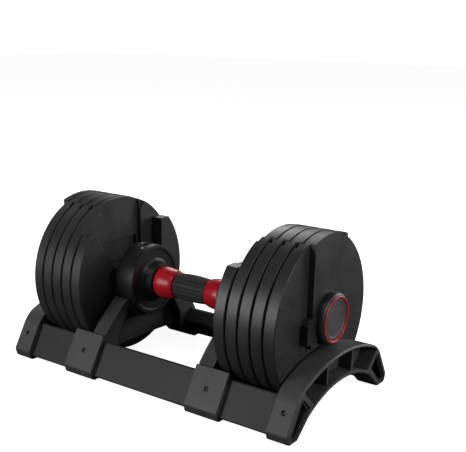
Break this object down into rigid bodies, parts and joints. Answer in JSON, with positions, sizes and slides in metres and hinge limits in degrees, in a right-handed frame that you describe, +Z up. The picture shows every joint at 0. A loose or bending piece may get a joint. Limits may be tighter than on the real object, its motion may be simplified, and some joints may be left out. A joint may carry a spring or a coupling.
{
  "type": "adjustable dumbbell",
  "caption": "Twist-grip adjustable dumbbell resting in its storage tray, with stacked interlocking plates, lock rods and saddle brackets.",
  "frame": {"origin": "on the floor under the middle of the grip, at the bottom centre of the whole object", "axes": "+X along the handle to the right end, +Y to the rear, +Z up"},
  "size_m": [0.4076, 0.2184, 0.1983],
  "materials": {
    "plate_black": "satin black powder coat over cast iron",
    "hub_black": "satin moulded nylon",
    "bracket_black": "fine-textured moulded plastic",
    "rail_black": "satin extruded plastic",
    "gloss_red": "gloss red moulded plastic",
    "badge_grey": "dark grey satin disc",
    "dial_black": "black dial with white numbers",
    "grip_rubber": "soft matt rubber",
    "bare_steel": "turned steel",
    "spring_steel": "spring wire",
    "nylon_liner": "natural black nylon",
    "screw_black": "blackened steel",
    "pad_rubber": "soft rubber"
  },
  "bodies": {
    "tray": {"bracket_screws": "screw_black", "foot_pads": "pad_rubber", "front_rail": "rail_black", "left_cradle_bracket": "bracket_black", "left_end_bracket": "bracket_black", "rear_rail": "rail_black", "right_cradle_bracket": "bracket_black", "right_end_bracket": "bracket_black"},
    "weights": {"left_cover_badge": "badge_grey", "left_cover_ring": "gloss_red", "left_end_cover": "hub_black", "left_plate_1": "plate_black", "left_plate_2": "plate_black", "left_plate_3": "plate_black", "left_plate_4": "plate_black", "left_plate_bushes": "nylon_liner", "left_small_plate": "plate_black", "right_cover_badge": "badge_grey", "right_cover_ring": "gloss_red", "right_end_cover": "hub_black", "right_plate_1": "plate_black", "right_plate_2": "plate_black", "right_plate_3": "plate_black", "right_plate_4": "plate_black", "right_plate_bushes": "nylon_liner", "right_small_plate": "plate_black"},
    "handle": {"handle_tube": "bare_steel", "left_detent_ball": "bare_steel", "left_detent_spring": "spring_steel", "left_dock_spring": "spring_steel", "left_guard_disc": "hub_black", "left_hub_housing": "hub_black", "right_detent_ball": "bare_steel", "right_detent_spring": "spring_steel", "right_dock_spring": "spring_steel", "right_guard_disc": "hub_black", "right_hub_housing": "hub_black"},
    "grip": {"cam_sleeve": "bare_steel", "grip_rubber": "grip_rubber", "left_collar": "gloss_red", "left_dial_ring": "dial_black", "right_collar": "gloss_red", "right_dial_ring": "dial_black"},
    "right_rod": {"right_lock_rod": "bare_steel", "right_follower_pin": "bare_steel"},
    "left_rod": {"left_lock_rod": "bare_steel", "left_follower_pin": "bare_steel"},
    "right_plunger": {"right_dock_plunger": "bare_steel"},
    "left_plunger": {"left_dock_plunger": "bare_steel"}
  },
  "joints": [
    {"name": "weights_lift", "type": "slide", "parent": "tray", "child": "weights", "axis": [0, 0, 1], "range_m": [0, 0.25]},
    {"name": "handle_lift", "type": "slide", "parent": "weights", "child": "handle", "axis": [0, 0, 1], "range_m": [0, 0.2]},
    {"name": "grip_twist", "type": "hinge", "parent": "handle", "child": "grip", "pos_m": [0, 0, 0.1025], "axis": [1, 0, 0], "range_deg": [0, 300]},
    {"name": "right_rod_slide", "type": "slide", "parent": "handle", "child": "right_rod", "axis": [1, 0, 0], "range_m": [0, 0.0787]},
    {"name": "left_rod_slide", "type": "slide", "parent": "handle", "child": "left_rod", "axis": [-1, 0, 0], "range_m": [0, 0.0787]},
    {"name": "right_plunger_slide", "type": "slide", "parent": "handle", "child": "right_plunger", "axis": [0, 0, -1], "range_m": [0, 0.0031], "deforming": ["right_dock_spring"]},
    {"name": "left_plunger_slide", "type": "slide", "parent": "handle", "child": "left_plunger", "axis": [0, 0, -1], "range_m": [0, 0.0031], "deforming": ["left_dock_spring"]}
  ],
  "couplings": [
    {"joint": "right_rod_slide", "follows": "grip_twist", "m_per_rad": 0.014992},
    {"joint": "left_rod_slide", "follows": "grip_twist", "m_per_rad": 0.014992},
    {"joint": "right_plunger_slide", "follows": "handle_lift", "ratio": 0.015},
    {"joint": "left_plunger_slide", "follows": "handle_lift", "ratio": 0.015}
  ]
}
